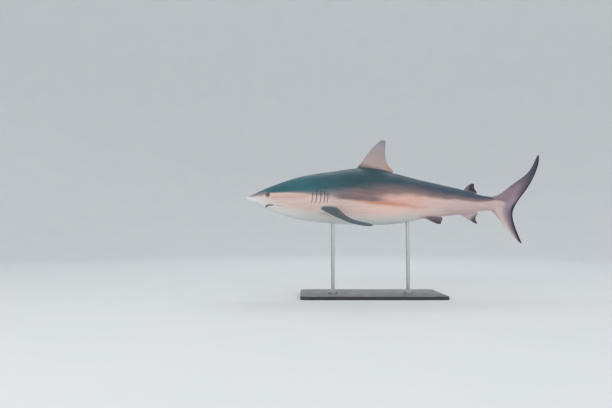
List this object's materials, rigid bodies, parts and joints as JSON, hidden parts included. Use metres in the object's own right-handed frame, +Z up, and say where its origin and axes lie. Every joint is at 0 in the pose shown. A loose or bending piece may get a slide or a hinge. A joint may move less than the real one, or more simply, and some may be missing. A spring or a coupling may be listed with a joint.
{
  "type": "reef shark",
  "caption": "Life-size still model of a reef shark gliding with its tail swept round, held over a flat base by upright rods.",
  "frame": {"origin": "middle of the stand's underside, on the floor it rests on; the point of the fish's axis 0.715 m behind the snout stands above it", "axes": "+Z up; -X is the way the fish looks and +X runs back along the body to the tail; -Y is the fish's left side and +Y its right"},
  "size_m": [1.8883, 0.8179, 0.8951],
  "materials": {
    "flank_skin": "satin fish skin, dark teal-grey above, pinkish cream on the flank",
    "belly_skin": "satin fish skin, cream white",
    "fin_skin": "satin fish skin, dusky grey, darker towards tips and rear edges",
    "eye": "wet gloss, grey-olive iris and dark upright pupil",
    "base_plate": "satin black lacquered board",
    "steel": "brushed stainless rod and collar"
  },
  "bodies": {
    "root": {"head": "flank_skin", "lower_jaw": "belly_skin", "gill_section": "flank_skin", "trunk": "flank_skin", "loins": "flank_skin", "tail_stalk": "flank_skin", "caudal_fin_upper": "fin_skin", "caudal_fin_lower": "fin_skin", "dorsal_fin_first": "fin_skin", "dorsal_fin_second": "fin_skin", "anal_fin": "fin_skin", "pectoral_fin_left": "fin_skin", "pectoral_fin_right": "fin_skin", "pelvic_fin_left": "fin_skin", "pelvic_fin_right": "fin_skin", "eye_left": "eye", "eye_right": "eye", "stand_base": "base_plate", "stand_collar_front": "steel", "stand_collar_rear": "steel", "stand_rod_front": "steel", "stand_rod_rear": "steel"}
  },
  "joints": []
}
